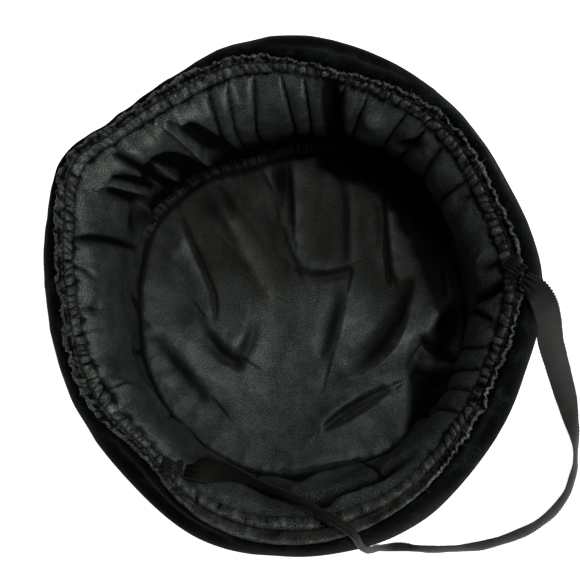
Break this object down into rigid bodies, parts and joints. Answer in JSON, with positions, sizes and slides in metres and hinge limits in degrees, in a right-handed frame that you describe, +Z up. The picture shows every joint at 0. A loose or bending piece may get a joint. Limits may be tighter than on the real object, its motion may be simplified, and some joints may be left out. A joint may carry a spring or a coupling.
{
  "type": "velvet bonnet",
  "caption": "Soft gathered velvet bonnet with a puffed body, a drawn casing, a pleated satin lining and a ribbon chin strap.",
  "frame": {"origin": "under the middle of the bonnet, on the surface that its crown rests on", "axes": "+Z up, out of the mouth; the smooth, flat-pressed stretch of the casing lies towards -Y and the two ribbon ends towards +X and -X-Y"},
  "size_m": [0.2389, 0.2315, 0.0907],
  "materials": {
    "velvet": "deep pile",
    "satin": "satin",
    "faded_satin": "satin",
    "ribbon": "satin"
  },
  "bodies": {
    "root": {"velvet_side": "velvet", "velvet_tip": "velvet", "casing_channel": "satin", "casing_header": "satin", "lining_side": "satin", "lining_tip": "faded_satin", "chin_ribbon": "ribbon", "ribbon_tack_right": "ribbon", "ribbon_tack_left": "ribbon"}
  },
  "joints": []
}
